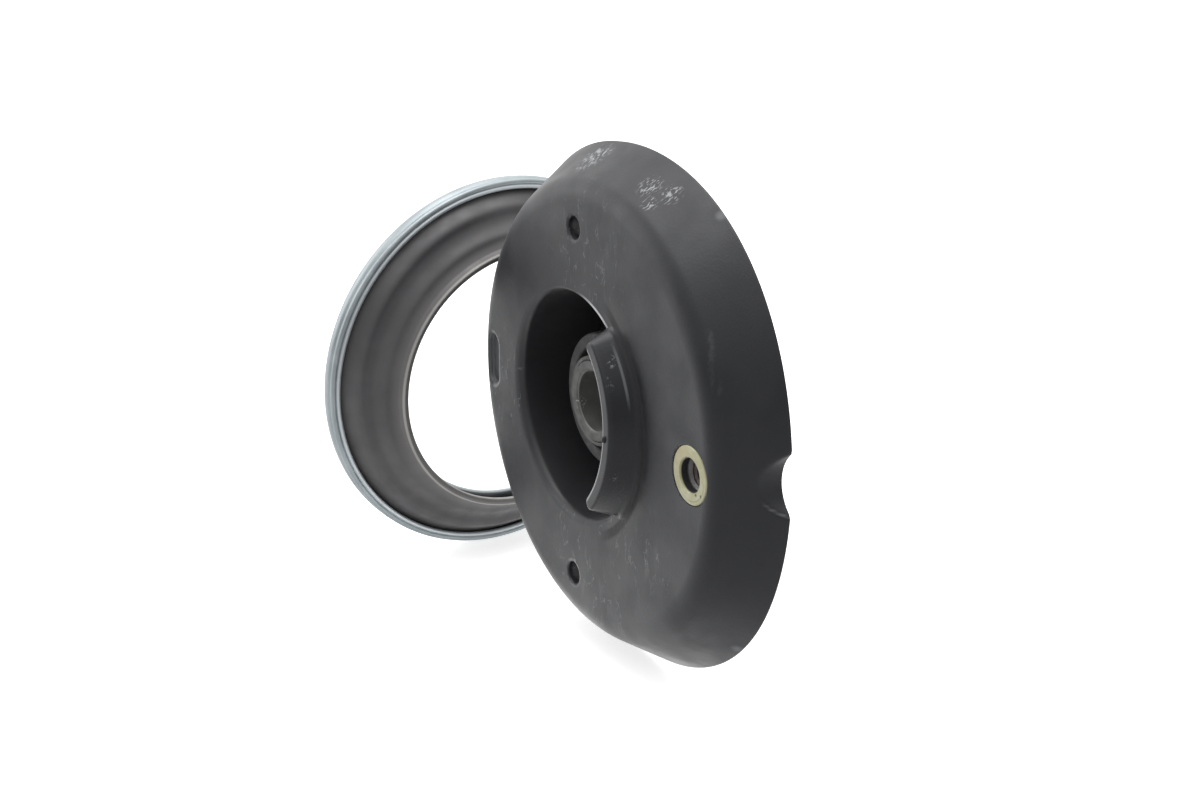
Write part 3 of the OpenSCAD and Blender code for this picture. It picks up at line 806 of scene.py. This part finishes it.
# Painted highlights: the inner bead of the rolled rim and the shell's inner edge are painted brighter
bead_highlight = band(tree, zinc_r, (0.0565, 0.0562), (0.0545, 0.0549))
bead_highlight = product(tree, bead_highlight, graded(tree, zinc_h, 0.0015, 0.0025))
inner_edge_highlight = graded(tree, zinc_r, 0.0400, 0.0396)
colour = painted(tree, largest(tree, bead_highlight, inner_edge_highlight), colour, ZINC_PAINTED_HIGHLIGHT, 0.8)
tree.links.new(colour, surface.inputs["Base Color"])
surface.inputs["Metallic"].default_value = 0.5
tree.links.new(graded(tree, noise(tree, coords, 260, 4), 0.3, 0.7, 0.30, 0.42), surface.inputs["Roughness"])
bumped(tree, surface, noise(tree, coords, 260, 2), 0.00004, 0.25)
lower_shell.data.materials.append(bright_zinc)
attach(lower_shell, "mount")
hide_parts("bearing_lower_shell")

# Upper shell: a dark stamped cone with a soft ridge over the balls and a rolled inner edge.
# It turns on the balls inside the rolled rim.
OPENING_R = 0.039
LIP_H = 0.0168
SLOPE = 0.868
SHEET_H = 0.002
EDGE_R = 0.0556
CONE_IN_R = 0.0415
ROLL_R = 0.0013
RIDGES = ((0.0016, 0.0514, 0.0019), (0.0006, 0.0449, 0.0013))
STAMPED_DARK = (0.082, 0.079, 0.082)
STAMPED_GREY = (0.104, 0.1005, 0.1035)
VALLEY_PAINTED_SHADE = (0.045, 0.044, 0.048)
LIP_GREY = (0.155, 0.150, 0.147)
LIP_PAINTED_HIGHLIGHT = (0.42, 0.41, 0.39)


def shell_top(r):
    """Height of the cone's visible side, with its ridge over the balls and a fainter one further in."""
    ridge = sum(height * math.exp(-((r - at_r) / width) ** 2) for height, at_r, width in RIDGES)
    return LIP_H - (r - OPENING_R) * SLOPE + ridge


steps = [EDGE_R - (EDGE_R - CONE_IN_R) * i / 48 for i in range(49)]
upper_outline = [(r, shell_top(r)) for r in steps]
upper_outline += arc((OPENING_R + ROLL_R, LIP_H - ROLL_R), ROLL_R, 60, 270, 14)
upper_outline += [(r, shell_top(r) - SHEET_H) for r in reversed(steps)]
upper_shell = lathe("upper_shell_stamping", upper_outline, in_bearing, 256)
crease(upper_shell, 60)
dark_stamped, tree, surface = shader("dark_stamped")
coords = own_coords(tree)
shell_r, _ = round_bearing(tree, coords)
cloud = graded(tree, noise(tree, coords, 60, 5), 0.35, 0.7)
colour = painted(tree, cloud, STAMPED_DARK, STAMPED_GREY)
# Painted shade in the valley between the two ridges
valley_shade = band(tree, shell_r, (0.0466, 0.0482), (0.0508, 0.0490))
colour = painted(tree, valley_shade, colour, VALLEY_PAINTED_SHADE, 0.4)
colour = painted(tree, graded(tree, shell_r, 0.0445, 0.0400), colour, LIP_GREY)
# Painted highlights: two bright lines along the rolled inner edge
outer_lip_highlight = band(tree, shell_r, (0.0405, 0.0407), (0.0412, 0.0410))
inner_lip_highlight = graded(tree, shell_r, 0.0393, 0.0391)
colour = painted(tree, largest(tree, outer_lip_highlight, inner_lip_highlight), colour, LIP_PAINTED_HIGHLIGHT, 0.75)
tree.links.new(colour, surface.inputs["Base Color"])
surface.inputs["Metallic"].default_value = 0.3
tree.links.new(graded(tree, noise(tree, coords, 180, 4), 0.3, 0.7, 0.42, 0.58), surface.inputs["Roughness"])
bumped(tree, surface, noise(tree, coords, 420, 4), 0.0001, 0.35)
upper_shell.data.materials.append(dark_stamped)
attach(upper_shell, "upper_race")
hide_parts("bearing_upper_shell")

# Balls and cage: ground steel balls spaced by a plain moulded ring, closed in between the two shells.
# Nothing of them shows in the photograph, so both keep their plain solids.
BALL_STEEL = (0.55, 0.56, 0.57, 1)
CAGE_CREAM = (0.42, 0.39, 0.31, 1)
hidden_pieces = (("bearing_balls", "ball_steel", BALL_STEEL, 1.0, (0.12, 0.22)),
                 ("ball_cage", "cage_cream", CAGE_CREAM, 0.0, (0.5, 0.65)))
for node_name, finish_name, base, metallic, matt_range in hidden_pieces:
    finish, tree, surface = shader(finish_name)
    surface.inputs["Base Color"].default_value = base
    surface.inputs["Metallic"].default_value = metallic
    worn = graded(tree, noise(tree, own_coords(tree), 500, 3), 0.3, 0.7, *matt_range)
    tree.links.new(worn, surface.inputs["Roughness"])
    frame["nodes"][node_name].data.materials.clear()
    frame["nodes"][node_name].data.materials.append(finish)

# Camera: the photograph's own view, from in front of the face and well round to the insert's side.
# Its lens, centre, place and turn come from a camera fitted to the photograph's outlines, in pixels.
PHOTO_W, PHOTO_H = 1200, 800
FOCAL_PX = 1953.26
CENTRE_PX = (619.85, 323.56)
SENSOR_MM = 36
CAMERA_PLACE = (0.42768, -0.25839, 0.17633)
camera_data = bpy.data.cameras.new("photo_view")
camera_data.sensor_width = SENSOR_MM
camera_data.lens = FOCAL_PX / PHOTO_W * SENSOR_MM
camera_data.shift_x = (PHOTO_W / 2 - CENTRE_PX[0]) / PHOTO_W
camera_data.shift_y = (CENTRE_PX[1] - PHOTO_H / 2) / PHOTO_W
camera = bpy.data.objects.new("photo_view", camera_data)
right = Vector((0.50692569, 0.86196005, 0.00715606))
up = Vector((-0.26136436, 0.14578893, 0.95416679))
back = Vector((0.82141038, -0.485562, 0.29918979))
camera_turn = Matrix((right, up, back)).transposed().to_4x4()
camera.matrix_world = Matrix.Translation(CAMERA_PLACE) @ camera_turn
bpy.context.scene.collection.objects.link(camera)
bpy.context.scene.camera = camera

# Stage: a plain white floor under both pieces, soft studio light from above and the left, and a white room.
# The room is dim towards the camera, so the wall near the insert falls into shade.
# Floor and room are lifted to white where the camera sees them, and the floor where the metal mirrors it.
FLOOR_Z = -0.0711
FLOOR_HALF = 6
FLOOR_WHITE = (0.74, 0.74, 0.74)
FLOOR_NEAR = (0.42, 0.42, 0.43)
GLOW_PLACE = (-0.02, 0.03, FLOOR_Z)
CAMERA_WAY = (0.86, 0.51)
ROOM_LIGHT = 0.38
ROOM_SEEN = 1.05
LAMPS = (("left_softbox", (-1.0, -1.0, 0.5), 1.0, 5), ("top_softbox", (-0.1, -0.1, 1.4), 1.2, 12))


def towards_camera(tree, x, y):
    """How far a place or a direction goes towards the camera, along the floor."""
    return worked(tree, "SUBTRACT", product(tree, x, CAMERA_WAY[0]), product(tree, y, CAMERA_WAY[1]))


corners = [(-1, -1), (1, -1), (1, 1), (-1, 1)]
floor = piece_from("floor", [(x * FLOOR_HALF, y * FLOOR_HALF, FLOOR_Z) for x, y in corners], [(0, 1, 2, 3)])
floor_white, tree, surface = shader("floor_white")
coords = own_coords(tree)
along_x, along_y, _ = split(tree, coords)
past_table = graded(tree, towards_camera(tree, along_x, along_y), 0.0, 0.13)
tree.links.new(painted(tree, past_table, FLOOR_WHITE, FLOOR_NEAR), surface.inputs["Base Color"])
surface.inputs["Roughness"].default_value = 0.9
surface.inputs["Specular IOR Level"].default_value = 0.1
surface.inputs["Emission Color"].default_value = (1, 1, 1, 1)
seen = tree.nodes.new("ShaderNodeLightPath").outputs
lift = worked(tree, "ADD", product(tree, past_table, 0.4), 0.65)
glow = product(tree, near(tree, coords, GLOW_PLACE, 0.115), 1.35)
mirrored = product(tree, largest(tree, seen["Is Glossy Ray"], seen["Is Transmission Ray"]), glow)
whitened = largest(tree, product(tree, seen["Is Camera Ray"], lift), mirrored)
tree.links.new(whitened, surface.inputs["Emission Strength"])
floor.data.materials.append(floor_white)

world = bpy.data.worlds.new("studio")
bpy.context.scene.world = world
world.use_nodes = True
tree = world.node_tree
surface = tree.nodes["Background"]
along_x, along_y, along_z = split(tree, tree.nodes.new("ShaderNodeTexCoord").outputs["Generated"])
overhead = graded(tree, along_z, 0.15, 0.85, 0.0, 0.60)
behind = graded(tree, towards_camera(tree, along_x, along_y), 0.45, -0.8, 0.0, 0.85)
room = worked(tree, "ADD", worked(tree, "ADD", overhead, behind), ROOM_LIGHT)
seen = tree.nodes.new("ShaderNodeLightPath").outputs
room_seen = product(tree, seen["Is Camera Ray"], ROOM_SEEN)
tree.links.new(largest(tree, room, room_seen), surface.inputs["Strength"])
surface.inputs["Color"].default_value = (1, 1, 1, 1)

for name, place, size, energy in LAMPS:
    lamp = bpy.data.objects.new(name, bpy.data.lights.new(name, "AREA"))
    lamp.data.size = size
    lamp.data.energy = energy
    lamp.location = place
    lamp.rotation_euler = (-lamp.location).to_track_quat("-Z", "Y").to_euler()
    bpy.context.scene.collection.objects.link(lamp)

bpy.context.scene.view_settings.view_transform = "Standard"
